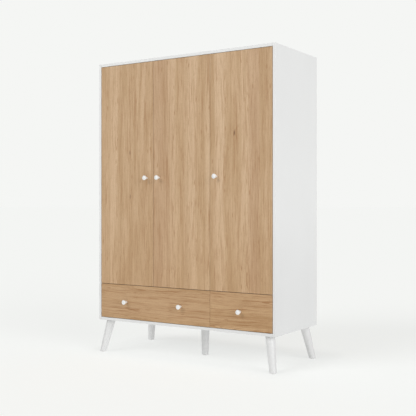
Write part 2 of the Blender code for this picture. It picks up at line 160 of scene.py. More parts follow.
class Growth(NodeSet):
    # a geometry tree with named inputs, run on a set of points and kept as a plain mesh
    def __init__(self, name, inputs):
        super().__init__(bpy.data.node_groups.new(name, "GeometryNodeTree"))
        face = self.tree.interface
        face.new_socket("Geometry", in_out="INPUT", socket_type="NodeSocketGeometry")
        for label, kind in (*inputs.items(), ("Material", "Material")):
            face.new_socket(label, in_out="INPUT", socket_type="NodeSocket" + kind)
        face.new_socket("Geometry", in_out="OUTPUT", socket_type="NodeSocketGeometry")
        self.entry = self.tree.nodes.new("NodeGroupInput")
        self.exit = self.tree.nodes.new("NodeGroupOutput")

    def given(self, label):
        return Wire(self, self.entry.outputs[label])

    def facing(self):
        # the turn that lays local Z along each point's facing
        facing = self.node("GeometryNodeInputNamedAttribute", {"data_type": "FLOAT_VECTOR"}, {"Name": "facing"})
        return self.node("FunctionNodeAlignRotationToVector", {"axis": "Z"}, {"Vector": facing})

    def scatter(self, points, instance, **more):
        sockets = {"Points": points, "Instance": instance, **more}
        return self.node("GeometryNodeInstanceOnPoints", sockets=sockets)

    def close(self, geometry):
        real = self.node("GeometryNodeRealizeInstances", sockets={"Geometry": geometry})
        painted = self.node("GeometryNodeSetMaterial", sockets={"Geometry": real, "Material": self.given("Material")})
        self.tree.links.new(painted.socket, self.exit.inputs[0])

    def grow(self, name, points, finish, **values):
        # points: (place, facing) pairs
        mesh = bpy.data.meshes.new(name + "Points")
        mesh.from_pydata([place for place, facing in points], [], [])
        facings = mesh.attributes.new("facing", "FLOAT_VECTOR", "POINT")
        for item, (place, facing) in zip(facings.data, points):
            item.vector = facing
        holder = addObject(name + "Points", mesh)
        modifier = holder.modifiers.new("growth", "NODES")
        modifier.node_group = self.tree
        values["Material"] = finishes[finish]
        for socket in self.tree.interface.items_tree:
            if socket.in_out == "INPUT" and socket.name in values:
                modifier[socket.identifier] = values[socket.name]
        grown = settled(holder)
        bpy.data.objects.remove(holder)
        return showPiece(name, grown)


# finishes

oakLook = {
    "strip": 0.060,  # usual width of a printed strip
    "panelPitch": 0.4353,  # from the middle of one door to the next
    "panelCentre": 0.0003,
    "pale": (0.666, 0.474, 0.304), "tan": (0.554, 0.373, 0.216), "rosy": (0.515, 0.330, 0.208),
    "olive": (0.458, 0.292, 0.152), "line": (0.355, 0.178, 0.070), "knot": (0.150, 0.072, 0.032),
    "lowShadeAndTone": (0.850, 0.775, 0.660),  # painted shade low on the doors; on the drawers partly painted shade, partly a deeper laminate tone, most on the narrow drawer
}
oakGrain = {
    # repeats per metre across and along the grain
    "drift": (5.0, 1.3), "sway": (34.0, 7.0), "wave": (18.0, 3.0), "knots": (8.5, 2.7), "broad": (26.0, 1.9),
    "streak": (105.0, 3.4), "fine": (380.0, 11.0), "pore": (1300.0, 75.0), "dashes": (52.0, 11.0),
}


def oakFinish(name, level, slide, figure=1.0, look=oakLook):
    # printed oak laminate: strips of several tones, growth lines that arch, knots, dashes and pores
    oak = Finish(name, Specular_IOR_Level=0.40)
    x, y, z = oak.place()
    if level:
        panel = x.above(look["panelPitch"] / 2 + look["panelCentre"])
        across, along = z + y * 0.35, x
    else:
        panel = ((x - look["panelCentre"]) / look["panelPitch"] + 0.5).floor()
        across, along = x + y, z
    # every panel shows another stretch of the print
    across = across + panel * 3.371 + slide
    along = along + panel * 1.733 + slide * 2.3

    def seat(kind, side, shift=slide):
        wide, long = oakGrain[kind]
        return oak.vector(side * wide, along * long, shift)

    # the grain wanders a little along its length
    drift = (oak.noise(seat("drift", across), 2.0) - 0.5) * 0.040
    sway = (oak.noise(seat("sway", across), 1.0) - 0.5) * 0.0045
    u = across + drift + sway

    cell = u / look["strip"] + (oak.noise(oak.vector(across * 11.0, slide, slide), 0.0) - 0.5) * 1.3
    strip = cell.floor()
    inside = cell.fract()
    # three chance values for each strip, and the same eased towards the next strip's
    ease = inside.ramp(0.40, 1.0)
    tones = [oak.chance(strip + shift) for shift in (0.0, 31.7, 77.3)]
    nexts = [oak.chance(strip + shift) for shift in (1.0, 32.7, 78.3)]
    toneA, toneB, toneC = tones
    tintA, tintB, tintC = [tone + (after - tone) * ease for tone, after in zip(tones, nexts)]

    # growth lines: arches up the middle of some strips, straight lines in the others
    middle = inside - 0.5 + (toneB - 0.5) * 0.5
    lean = (toneC - 0.5).sign()
    wave = oak.noise(seat("wave", across), 2.0)
    arch = along * lean * 9.0 + middle * middle * 30.0 + wave * 3.5 + toneB * 40.0
    straight = u * 210.0 + wave * 1.5
    arched = toneA.ramp(0.52, 0.60)
    field = straight + (arch - straight) * arched

    # knots push the growth lines round themselves and leave a dark wake along the grain
    spots, chosen = oak.cells(seat("knots", u), 0.42, 0.46)
    near = spots.ramp(0.42, 0.0) * chosen
    field = field + near * near * 5.0
    knot = spots.ramp(0.070, 0.025) * chosen

    rings = oak.node("ShaderNodeTexNoise", {"noise_dimensions": "1D"}, {"W": field, "Scale": 1.6, "Detail": 2.0})
    ringLine = rings.ramp(0.50, 0.70)

    broad = oak.noise(seat("broad", u), 3.0, 0.55)
    streak = oak.noise(seat("streak", u, slide + 4.0), 3.0, 0.66)
    fine = oak.noise(seat("fine", u), 3.0, 0.66)
    pore = oak.noise(seat("pore", u), 1.0).ramp(0.58, 0.70)
    dashes, picked = oak.cells(seat("dashes", u, slide + 9.0), 0.76, 0.80)  # short dark flecks in loose rows

    base = oak.mix(tintA.ramp(0.1, 0.9), look["tan"], look["pale"])
    layers = (
        (tintB.ramp(0.45, 0.80) * 0.50, "rosy"),
        (tintC.ramp(0.55, 0.90) * 0.36, "olive"),
        (broad.ramp(0.42, 0.75) * 0.65, "pale"),
        (broad.ramp(0.50, 0.25) * 0.45, "olive"),
        (ringLine * (0.42 * figure), "line"),
        (streak.ramp(0.52, 0.72) * (0.58 * figure), "line"),
        (streak.ramp(0.45, 0.24) * 0.45, "pale"),
        (fine.ramp(0.50, 0.72) * 0.66, "line"),
        (pore * 0.26, "knot"),
        (near * streak.ramp(0.40, 0.60) * 0.55, "line"),
        (dashes.ramp(0.24, 0.08) * picked * 0.62, "line"),
        (knot * 0.78, "knot"),
    )
    for factor, colour in layers:
        base = oak.mix(factor, base, look[colour])
    # painted shade: the doors darken towards the bottom, the drawers all over, the narrow drawer most
    depth = panel * 0.30 + 0.80 if level else z.ramp(1.15, 0.40) * 0.45
    base = oak.mix(depth, base, look["lowShadeAndTone"], "MULTIPLY")

    grain = fine * 0.6 + streak * 0.3 - pore * 0.9
    rough = 0.43 + streak * 0.08 + pore * 0.12
    return oak.coat(base, rough, grain, 0.25, 0.00012)


def boardFinish(name, colour, roughness, bandEdge=None):
    # satin melamine: a very fine even texture and a trace of tone
    # with bandEdge: a glossier edge band in front of it, and painted shade that darkens the white towards the bottom
    board = Finish(name, Specular_IOR_Level=0.42)
    y, z = board.place()[1:]
    wide = board.cloud(2.6)
    skin = board.cloud(850.0, 3.0, 0.6)
    deep = tuple(value * 0.965 for value in colour)
    tone = board.mix(wide.ramp(0.30, 0.70) * 0.5, colour, deep)
    tone = board.mix(skin.ramp(0.52, 0.80) * 0.35, tone, deep)
    rough = roughness - 0.03 + skin * 0.06 + wide * 0.03
    if bandEdge is not None:
        band = y.ramp(bandEdge + 0.0004, bandEdge)
        seam = band * y.ramp(bandEdge - 0.0005, bandEdge)
        tone = board.mix(seam * 0.35, tone, (0.52, 0.51, 0.49))  # the glue line behind the band
        rough = rough - band * 0.08
        # painted shade: the white darkens towards the bottom
        tone = board.mix(z.ramp(1.05, 0.40), tone, (0.915, 0.915, 0.917), "MULTIPLY")
    return board.coat(tone, rough, skin, 0.20, 0.00003)


def paintFinish(name, colour):
    # sprayed satin paint on turned wood: soft peel, faint turning marks, a scuff low on a foot
    paint = Finish(name)
    x, y, z = paint.place()
    peel = paint.cloud(420.0, 2.0, 0.55)
    marks = paint.noise(paint.vector(x * 30.0, y * 30.0, z * 900.0), 1.0)
    scuff = z.ramp(0.034, 0.003) * paint.cloud(160.0, 3.0, 0.6).ramp(0.48, 0.75)
    tone = paint.mix(scuff * 0.30, colour, (0.60, 0.585, 0.56))
    rough = 0.34 + peel * 0.08 + scuff * 0.18
    return paint.coat(tone, rough, peel * 0.8 + marks * 0.2, 0.18, 0.00005)


def metalFinish(name, colour, roughness, stretch):
    # drawn or plated metal: fine lines along stretch's long way, and softer smears
    metal = Finish(name, Metallic=1.0)
    x, y, z = metal.place()
    lines = metal.noise(metal.vector(x * stretch[0], y * stretch[1], z * stretch[2]), 2.0, 0.6)
    smears = metal.cloud(90.0)
    dull = tuple(value * 0.84 for value in colour)
    tone = metal.mix(smears.ramp(0.35, 0.75) * 0.5, colour, dull)
    rough = roughness + lines * 0.10 + smears * 0.06
    return metal.coat(tone, rough, lines, 0.10, 0.00003)


def sheetFinish(name, axis, lacquered, bare):
    # thin hardboard: white lacquer on one face and bare brown fibre from there to the other
    sheet = Finish(name, Specular_IOR_Level=0.35)
    raw = sheet.place()[axis].ramp(lacquered, bare)
    fibre = sheet.cloud(240.0, 4.0, 0.65)
    cloud = sheet.cloud(6.0)
    specks = sheet.cloud(430.0, 1.0).ramp(0.66, 0.72)
    brown = sheet.mix(fibre.ramp(0.35, 0.70), (0.330, 0.215, 0.130), (0.440, 0.305, 0.195))
    brown = sheet.mix(cloud.ramp(0.30, 0.70) * 0.35, brown, (0.500, 0.365, 0.245))
    brown = sheet.mix(specks * 0.45, brown, (0.190, 0.115, 0.070))
    white = sheet.mix(fibre.ramp(0.40, 0.75) * 0.5, (0.760, 0.765, 0.760), (0.730, 0.733, 0.725))
    tone = sheet.mix(raw, white, brown)
    rough = 0.50 + raw * 0.30 + fibre * 0.06
    return sheet.coat(tone, rough, fibre, 0.30, 0.00008)


def plasticFinish(name, colour, roughness):
    plastic = Finish(name)
    plastic.place()
    skin = plastic.cloud(700.0)
    deep = tuple(value * 0.93 for value in colour)
    tone = plastic.mix(skin.ramp(0.4, 0.7) * 0.4, colour, deep)
    return plastic.coat(tone, roughness + skin * 0.06, skin, 0.15, 0.00004)


finishes = {
    "oakDoors": oakFinish("oakUpright", False, 0.37),
    "oakDrawers": oakFinish("oakLevel", True, 1.91, 1.5),
    "carcassBoard": boardFinish("whiteMelamine", (0.820, 0.821, 0.823), 0.42, -0.2826),
    "innerBoard": boardFinish("whiteMelamineInside", (0.790, 0.793, 0.790), 0.44),
    "drawerBoard": boardFinish("drawerMelamine", (0.770, 0.772, 0.768), 0.48),
    "paint": paintFinish("whiteSatinPaint", (0.820, 0.822, 0.820)),
    # a darker copy of the white paint for the legs: painted shade
    "shadedLegPaint": paintFinish("paleSatinLegPaint", (0.716, 0.714, 0.716)),
    "backSheet": sheetFinish("backHardboard", 1, 0.2780, 0.2790),
    "drawerSheet": sheetFinish("drawerHardboard", 2, 0.2670, 0.2660),
    "nickel": metalFinish("nickelPlate", (0.66, 0.65, 0.63), 0.24, (500.0, 60.0, 500.0)),
    "zinc": metalFinish("zincPlate", (0.60, 0.61, 0.63), 0.34, (300.0, 300.0, 300.0)),
    "chrome": metalFinish("polishedChrome", (0.78, 0.79, 0.80), 0.05, (6.0, 700.0, 700.0)),
    "enamel": plasticFinish("whiteEnamel", (0.74, 0.74, 0.73), 0.30),
    "nylon": plasticFinish("whiteNylon", (0.72, 0.72, 0.70), 0.38),
    "felt": plasticFinish("glidePad", (0.42, 0.40, 0.38), 0.75),
    "buffer": plasticFinish("clearBuffer", (0.62, 0.63, 0.63), 0.20),
    "pinHole": plasticFinish("pinHoleShade", (0.055, 0.050, 0.045), 0.70),
}
print("finishes ready:", len(finishes))


# mesh helpers

def addObject(name, data):
    made = bpy.data.objects.new(name, data)
    bpy.context.scene.collection.objects.link(made)
    return made


def toMesh(name, shape):
    mesh = bpy.data.meshes.new(name)
    shape.to_mesh(mesh)
    shape.free()
    return mesh


def settled(holder):
    # the mesh that the modifiers make, after which they are dropped
    done = holder.evaluated_get(bpy.context.evaluated_depsgraph_get())
    mesh = bpy.data.meshes.new_from_object(done)
    holder.modifiers.clear()
    return mesh


def showPiece(name, mesh, angle=35.0):
    mesh.shade_smooth()
    mesh.set_sharp_from_angle(angle=math.radians(angle))
    mesh.name = name
    return addObject(name, mesh)


def makePiece(name, shape, finish, angle=35.0):
    bmesh.ops.recalc_face_normals(shape, faces=shape.faces[:])
    mesh = toMesh(name, shape)
    mesh.materials.append(finishes[finish])
    return showPiece(name, mesh, angle)


def softened(points, steps=3):
    # (radius, height, rounding) corners become a line of points with each corner eased by its rounding
    line = []
    for index, (radius, height, ease) in enumerate(points):
        here = Vector((radius, height))
        if not ease or index in (0, len(points) - 1):
            line.append(here)
            continue
        before, after = Vector(points[index - 1][:2]) - here, Vector(points[index + 1][:2]) - here
        first = here + before.normalized() * min(ease, before.length * 0.49)
        last = here + after.normalized() * min(ease, after.length * 0.49)
        for step in range(steps + 1):
            share = step / steps
            line.append(first.lerp(here, share).lerp(here.lerp(last, share), share))
    return line


def disc(radius, low, high, lowEase, highEase):
    # the profile of a solid disc or pin from low to high
    return softened([(0, low, 0), (radius, low, lowEase), (radius, high, highEase), (0, high, 0)])


def lathe(shape, profile, steps, matrix):
    # turns (radius, height) points about local Z; a radius of 0 closes a pole, otherwise the ends join up
    rings = []
    for radius, height in profile:
        count = 1 if radius < 1e-7 else steps
        turns = [2 * math.pi * index / steps for index in range(count)]
        places = [matrix @ Vector((radius * math.cos(t), radius * math.sin(t), height)) for t in turns]
        rings.append([shape.verts.new(place) for place in places])
    pairs = list(zip(rings, rings[1:]))
    if len(rings[0]) > 1:
        pairs.append((rings[-1], rings[0]))
    for low, high in pairs:
        for index in range(steps):
            after = (index + 1) % steps
            around = [low[index % len(low)], low[after % len(low)], high[after % len(high)], high[index % len(high)]]
            corners = list(dict.fromkeys(around))
            if len(corners) > 2:
                shape.faces.new(corners)


def slab(shape, outline, low, high, matrix, ease=0.0):
    # a flat outline in local XY given thickness from low to high, its edges eased
    part = bmesh.new()
    floor = [part.verts.new((x, y, low)) for x, y in outline]
    roof = [part.verts.new((x, y, high)) for x, y in outline]
    part.faces.new(list(reversed(floor)))
    part.faces.new(roof)
    for index in range(len(outline)):
        after = (index + 1) % len(outline)
        part.faces.new((floor[index], floor[after], roof[after], roof[index]))
    if ease:
        rims = [edge for edge in part.edges if abs(edge.verts[0].co.z - edge.verts[1].co.z) < 1e-9]
        bmesh.ops.bevel(part, geom=rims, offset=ease, segments=2, profile=0.5, affect="EDGES", clamp_overlap=True)
    part.transform(matrix)
    joined = toMesh("part", part)
    shape.from_mesh(joined)
    bpy.data.meshes.remove(joined)


def roundedOutline(width, height, radius):
    steps = 5
    line = []
    for quarter, (sx, sy) in enumerate(((1, 1), (-1, 1), (-1, -1), (1, -1))):
        centre = (sx * (width / 2 - radius), sy * (height / 2 - radius))
        for step in range(steps + 1):
            turn = math.pi / 2 * (quarter + step / steps)
            line.append((centre[0] + radius * math.cos(turn), centre[1] + radius * math.sin(turn)))
    return line


def moved(x, y, z):
    return Matrix.Translation((x, y, z))


def turnTo(axis, place=(0, 0, 0)):
    # local Z laid along axis, then moved to place
    return moved(*place) @ Vector(axis).to_track_quat("Z", "Y").to_matrix().to_4x4()


def nodesWith(text, start=""):
    return [name for name in frame["nodes"] if text in name and name.startswith(start)]


# boards that keep the shape they came with

def dress(node, finish):
    piece = frame["nodes"][node]
    piece.data.materials.clear()
    piece.data.materials.append(finishes[finish])


for node in frame["nodes"]:
    if node in ("door_left", "door_middle", "door_right"):
        dress(node, "oakDoors")
    elif node.endswith("_front"):
        dress(node, "oakDrawers")
    elif node.startswith("back_sheet"):
        dress(node, "backSheet")
    elif node.endswith("drawer_bottom"):
        dress(node, "drawerSheet")
    elif "drawer_side" in node or node.endswith("drawer_back"):
        dress(node, "drawerBoard")
    elif node in ("side_panel_left", "side_panel_right", "top_panel", "bottom_panel"):
        dress(node, "carcassBoard")
    else:
        dress(node, "innerBoard")
print("boards dressed")


# legs

legLook = {
    "topRadius": 0.030, "footRadius": 0.0215,
    "edge": 0.003,  # rounding of the foot
    "plate": 0.0022,  # steel plate between leg and carcass
    "plateRadius": 0.0265, "plateEase": (0.0006, 0.0004), "glide": 0.0020, "glideRadius": 0.0135, "glideEase": 0.0008,
}


def legTree():
    # a tapered cylinder that leans by shear, so both its ends stay level
    inputs = {"Top": "Float", "Foot": "Float", "Height": "Float", "Lean": "Vector", "Edge": "Float"}
    tree = Growth("turnedLeg", inputs)
    height, edge, foot = tree.given("Height"), tree.given("Edge"), tree.given("Foot")
    sockets = {"Vertices": 64, "Side Segments": 72, "Fill Segments": 6, "Radius": 1.0, "Depth": height}
    rod = tree.node("GeometryNodeMeshCylinder", {"fill_type": "NGON"}, sockets)
    x, y, z = tree.split(tree.node("GeometryNodeInputPosition"))
    step = z / height + 0.5
    turn = step * (2 * math.pi)
    share = step - turn.sine() / (2 * math.pi)  # rows crowd together at both ends
    rise = share * height
    nearEnd = rise.least((height - rise) * 3.0)  # the top is rounded less than the foot
    dip = (edge - nearEnd).most(0.0)
    radius = foot + (tree.given("Top") - foot) * share
    radius = radius - edge + (edge * edge - dip * dip).most(0.0).root()
    reach = tree.node("ShaderNodeVectorMath", {"operation": "SCALE"}, {0: tree.given("Lean"), "Scale": 1.0 - share})
    leanX, leanY = tree.split(reach)[:2]
    places = tree.vector(x * radius + leanX, y * radius + leanY, rise)
    leg = tree.node("GeometryNodeSetPosition", sockets={"Geometry": rod, "Position": places})
    tree.close(tree.scatter(tree.given("Geometry"), leg))
    return tree


def legEnds(low, high, look=legLook):
    # level centres of top and foot: a splayed leg fills its box from the top's inner side to the foot's outer side
    top, foot = Vector((0.0, 0.0)), Vector((0.0, 0.0))
    for axis in (0, 1):
        middle = (low[axis] + high[axis]) / 2
        if abs(middle) < 1e-4:
            top[axis] = foot[axis] = middle
        elif middle > 0:
            top[axis], foot[axis] = low[axis] + look["topRadius"], high[axis] - look["footRadius"]
        else:
            top[axis], foot[axis] = high[axis] - look["topRadius"], low[axis] + look["footRadius"]
    return top, foot


def growLegs(look=legLook):
    tree = legTree()
    plateLine = disc(look["plateRadius"], 0, look["plate"], *look["plateEase"])
    glideLine = disc(look["glideRadius"], 0, look["glide"], look["glideEase"], 0)
    plates, glides = bmesh.new(), bmesh.new()
    for node in nodesWith("", "leg_"):
        low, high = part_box(node)
        top, foot = legEnds(low, high)
        base = low.z + look["glide"]
        tall = high.z - look["plate"] - base
        lean = (foot.x - top.x, foot.y - top.y, 0.0)
        leg = tree.grow(node + "_turned", [((top.x, top.y, base), (0, 0, 1))], "shadedLegPaint", Top=look["topRadius"],
                        Foot=look["footRadius"], Height=tall, Lean=lean, Edge=look["edge"])
        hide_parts(node)
        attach(leg, "carcass")
        lathe(plates, plateLine, 48, moved(top.x, top.y, high.z - look["plate"]))
        lathe(glides, glideLine, 32, moved(foot.x, foot.y, low.z))
    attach(makePiece("leg_plates", plates, "zinc"), "carcass")
    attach(makePiece("leg_glides", glides, "felt"), "carcass")


growLegs()
print("legs turned")


# knobs

knobLook = {
    "head": 0.0150, "foot": 0.0065,
    "dome": 0.0060,  # depth of the domed head
    "rim": 0.0016,  # rounding between the dome and the cone behind it
    "footStep": 0.0008,  # a small step and easing where the foot meets the board
    "footEase": 0.0006,
}


def makeKnobs(look=knobLook):
    for body in frame["bodies"]:
        nodes = nodesWith("_knob", body)
        if not nodes:
            continue
        shape = bmesh.new()
        for node in nodes:
            low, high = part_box(node)
            reach = high.y - low.y
            neck = reach - look["dome"]
            line = [(0.0, reach, 0.0)]
            for step in range(1, 15):
                turn = math.radians(88) * step / 14
                line.append((look["head"] * math.sin(turn), neck + look["dome"] * math.cos(turn), 0.0))
            line.append((look["head"], neck, look["rim"]))
            line.append((look["foot"], look["footStep"], look["footEase"]))
            line += [(look["foot"] - look["footEase"], 0.0, 0.0), (0.0, 0.0, 0.0)]
            seat = turnTo((0, -1, 0), ((low.x + high.x) / 2, high.y, (low.z + high.z) / 2))
            lathe(shape, softened(line, 6), 64, seat)
        knobs = makePiece(body + "_knobs", shape, "paint", 50.0)
        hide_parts(*nodes)
        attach(knobs, body)


makeKnobs()
print("knobs turned")


# hinges

hingeLook = {
    "cupRadius": 0.0172, "cupEase": 0.003, "rimRadius": 0.0190, "rimEase": 0.0008, "rim": 0.0015, "wall": 0.0011,
    "depth": 0.0122,
    "ears": (0.016, 0.062),  # width of an ear, and reach over both
    "earTuck": 0.0045,  # each ear starts this far inside the rim
    "earScrew": 0.024,  # from the cup's middle to each screw
    "earHead": 0.0066, "cheek": (0.013, 0.0085, 0.003), "cheekSink": 0.0062, "cheekSpread": 0.0056,
    "cheekHalf": 0.0006,  # half of the sheet's thickness
    "cupPin": (0.0019, 0.0072),  # radius and half length
    "cupPins": (-0.0035, 0.0038), "cupPinSink": 0.0060, "armStart": 0.006, "armWidth": 0.0154, "armHeight": 0.0125,
    "armSheet": 0.0012,
    "armScrews": ((0.022, 0.0058), (0.046, 0.0064)),  # place along the arm, head
    "armScrewSink": 0.0016, "plate": (0.018, 0.052, 0.004), "plateSeat": 0.0335, "plateThick": 0.0024,
    "plateScrew": 0.01888, "plateHead": 0.0068, "block": (0.040, 0.0118, 0.002), "blockSeat": 0.036,
    "blockGap": 0.0004, "tipGap": 0.0008, "linkStart": 0.0012, "linkSweep": 0.0085, "linkFoot": 0.006,
    "linkDepth": 0.0040, "linkHalf": 0.0066, "linkPin": (0.0022, 0.0076),
    "linkPins": (0.0034, 0.0028, 0.0105, 0.0082),  # at the tip: along, short of it; at the arm: along, out
}
bedding = 0.0001  # heads, caps and buffers sink this far into their seats
screwSpots = {body: [] for body in frame["bodies"]}  # (place, facing, head diameter)


def addScrew(body, place, facing, head):
    screwSpots[body].append((place, facing, head))


def makeCups(look=hingeLook):
    rim, deepest, hollow = look["rim"], look["rim"] - look["depth"], look["cupRadius"] - look["wall"]
    bowl = softened([
        (0, deepest + look["wall"], 0), (hollow, deepest + look["wall"], look["cupEase"]),
        (hollow, rim, look["rimEase"]), (look["rimRadius"], rim, look["rimEase"]),
        (look["rimRadius"], 0.0, 0.0003), (look["cupRadius"], 0.0, 0.0),
        (look["cupRadius"], deepest, look["cupEase"]), (0, deepest, 0)], 4)
    pinRadius, pinHalf = look["cupPin"]
    pin = disc(pinRadius, -pinHalf, pinHalf, 0.0005, 0.0005)
    half = look["ears"][0] / 2
    inner, outer = look["rimRadius"] - look["earTuck"], look["ears"][1] / 2
    for body in ("door_left", "door_middle", "door_right"):
        nodes = nodesWith("", body + "_cup")
        shape = bmesh.new()
        for node in nodes:
            low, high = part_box(node)
            middle = Vector(((low.x + high.x) / 2, high.y - rim, (low.z + high.z) / 2))
            seat = turnTo((0, 1, 0), middle)  # local Z points into the cabinet
            lathe(shape, bowl, 56, seat)
            # each ear is a tongue from the rim to a rounded end with its screw
            for sign in (-1, 1):
                line = [(-half, sign * inner), (half, sign * inner)]
                for step in range(9):
                    turn = math.pi * step / 8
                    line.append((half * math.cos(turn), sign * (outer - half + half * math.sin(turn))))
                slab(shape, line if sign > 0 else line[::-1], 0.0, rim - bedding, seat, 0.0004)
                addScrew(body, seat @ Vector((0, sign * look["earScrew"], rim - bedding)), (0, 1, 0), look["earHead"])
            # the knuckle that the links turn on stays inside the bowl
            for sign in (-1, 1):
                turned = middle + Vector((0, -look["cheekSink"], sign * look["cheekSpread"]))
                slab(shape, roundedOutline(*look["cheek"]), -look["cheekHalf"], look["cheekHalf"],
                     turnTo((0, 0, 1), turned), 0.0003)
            for shift in look["cupPins"]:
                lathe(shape, pin, 16, turnTo((0, 0, 1), middle + Vector((shift, -look["cupPinSink"], 0))))
        cups = makePiece(body + "_hinge_cups", shape, "nickel")
        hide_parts(*nodes)
        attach(cups, body)


def channel(shape, width, height, sheet, start, end, matrix):
    # bent sheet open towards the wall: local X along its length, Y across, Z away from the wall
    half, lip, bend, hollow = width / 2, height * 0.42, 0.002, 0.0024
    outer = [(-half, lip), (-half, height - bend), (-half + bend, height), (half - bend, height), (half, height - bend),
             (half, lip)]
    inner = [(half - sheet, lip), (half - sheet, height - hollow), (half - hollow, height - sheet),
             (-half + hollow, height - sheet), (-half + sheet, height - hollow), (-half + sheet, lip)]
    upright = matrix @ Matrix(((0, 0, 1, 0), (1, 0, 0, 0), (0, 1, 0, 0), (0, 0, 0, 1)))
    slab(shape, outer + inner, start, end, upright)


def makeArms(look=hingeLook):
    pinRadius, pinHalf = look["linkPin"]
    pin = disc(pinRadius, -pinHalf, pinHalf, 0.0006, 0.0006)
    shape = bmesh.new()
    nodes = nodesWith("_hinge_")
    for node in nodes:
        low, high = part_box(node)
        inward = 1.0 if node.startswith("door_left") else -1.0
        wall = low.x if inward > 0 else high.x
        away = Vector((inward, 0, 0))
        # local X runs back into the cabinet, Y up, Z away from the wall
        seat = Matrix(((0, 0, inward, wall), (1, 0, 0, low.y), (0, 1, 0, (low.z + high.z) / 2), (0, 0, 0, 1)))
        slab(shape, roundedOutline(*look["plate"]), 0.0, look["plateThick"],
             seat @ moved(look["plateSeat"], 0, 0), 0.0005)
        slab(shape, roundedOutline(*look["block"]), look["plateThick"] * 0.5,
             look["armHeight"] - look["armSheet"] - look["blockGap"],
             seat @ moved(look["blockSeat"], 0, 0), 0.0006)
        channel(shape, look["armWidth"], look["armHeight"], look["armSheet"], look["armStart"], high.y - low.y, seat)
        # the link that reaches across to the cup, with the heads of its pins
        tip = high.x - low.x - look["tipGap"]
        front, back = [], []
        for step in range(9):
            share = step / 8
            out, along = tip - (tip - look["linkFoot"]) * share, look["linkStart"] + look["linkSweep"] * share ** 1.6
            front.append((out, along))
            back.append((out, along + look["linkDepth"] - 0.001 * step / 8))
        across = seat @ Matrix(((0, 1, 0, 0), (0, 0, 1, 0), (1, 0, 0, 0), (0, 0, 0, 1)))
        slab(shape, front + back[::-1], -look["linkHalf"], look["linkHalf"], across, 0.0006)
        tipAlong, tipShort, armAlong, armOut = look["linkPins"]
        for out, along in ((tip - tipShort, tipAlong), (armOut, armAlong)):
            lathe(shape, pin, 18, across @ moved(out, along, 0))
        for sign in (-1, 1):
            spot = seat @ Vector((look["plateSeat"], sign * look["plateScrew"], look["plateThick"] - bedding))
            addScrew("carcass", spot, away, look["plateHead"])
        for along, head in look["armScrews"]:
            spot = seat @ Vector((along, 0, look["armHeight"] - bedding - look["armScrewSink"]))
            addScrew("carcass", spot, away, head)
    arms = makePiece("hinge_arms", shape, "nickel")
    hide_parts(*nodes)
    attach(arms, "carcass")


makeCups()
makeArms()
print("hinges made")


# hanging rail

railLook = {
    "tube": 0.0125, "collar": 0.0155, "collarLength": 0.014, "flangeThick": 0.003, "screwCircle": 0.0208,
    "screwHead": 0.0060,
}


def makeRail(look=railLook):
    low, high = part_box("hanging_rail")
    flange = (high.z - low.z) / 2
    long = high.x - low.x
    thick, collar, sleeve = look["flangeThick"], look["collar"], look["collarLength"]
    end = [(0, 0, 0), (flange, 0, 0.0004), (flange, thick, 0.0014), (collar, thick, 0.0012), (collar, sleeve, 0.0010),
           (look["tube"], sleeve, 0)]
    far = [(radius, long - height, ease) for radius, height, ease in reversed(end)]
    shape = bmesh.new()
    centre = Vector((low.x, (low.y + high.y) / 2, (low.z + high.z) / 2))
    lathe(shape, softened(end + far, 4), 72, turnTo((1, 0, 0), centre))
    rail = makePiece("rail_chromed", shape, "chrome")
    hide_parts("hanging_rail")
    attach(rail, "carcass")
    for x, away in ((low.x + thick, 1.0), (high.x - thick, -1.0)):
        for third in range(3):
            turn = math.radians(90 + 120 * third)
            y, z = centre.y + look["screwCircle"] * math.cos(turn), centre.z + look["screwCircle"] * math.sin(turn)
            addScrew("carcass", Vector((x - away * bedding, y, z)), (away, 0, 0), look["screwHead"])


makeRail()
print("rail turned")


# drawer runners

runnerLook = {
    "sheet": 0.0012,
    "corner": 0.0014,  # of the bent sheets
    "rollerRadius": 0.0098, "rollerThick": 0.0048, "rollerEase": 0.0008, "pinRadius": 0.0026, "pinEase": 0.0006,
    "frontRoller": (0.014, 0.0145),  # back from the rail's front end, up from its foot
    "railScrews": (0.045, 0.200, 0.400), "railScrewRise": 0.023, "railHead": 0.0062, "memberRise": (0.0030, 0.0285),
    "memberLip": 0.0030,
    "memberInset": 0.0003,  # between the drawer side and its member
    "memberShort": 0.002,
    "rearRoller": (0.016, 0.0002),  # in from the rail's rear end, above the sheet that it rolls on
    "memberScrews": (0.060, 0.240, 0.385), "memberScrewRise": 0.012, "memberHead": 0.0056,
}


def runnerSection(shape, line, start, end, flip, place):
    # a bent strip drawn across the runner (local X away from the wall, Y up) and run from start to end
    matrix = Matrix(((flip, 0, 0, place[0]), (0, 0, 1, 0), (0, 1, 0, place[1]), (0, 0, 0, 1)))
    slab(shape, line, start, end, matrix)


def bentStrip(points, sheet):
    # offsets an open line by the sheet's thickness and closes it into an outline
    near = [Vector(point) for point in points]
    far = []
    for index, point in enumerate(near):
        before = (point - near[index - 1]).normalized() if index else (near[1] - point).normalized()
        after = (near[index + 1] - point).normalized() if index < len(near) - 1 else before
        normal = Vector((-(before.y + after.y), before.x + after.x))
        normal = normal.normalized() / max(0.4, normal.normalized().dot(Vector((-before.y, before.x))))
        far.append(point + normal * sheet)
    return [tuple(point) for point in near + far[::-1]]


def addRoller(wheels, holder, seat, gap, pinStart, pinEnd, look=runnerLook):
    # a roller that stands off its sheet by gap, and the pin that it turns on
    ease = look["rollerEase"]
    lathe(wheels, disc(look["rollerRadius"], gap, gap + look["rollerThick"], ease, ease), 32, seat)
    lathe(holder, disc(look["pinRadius"], pinStart, pinEnd, 0, look["pinEase"]), 18, seat)


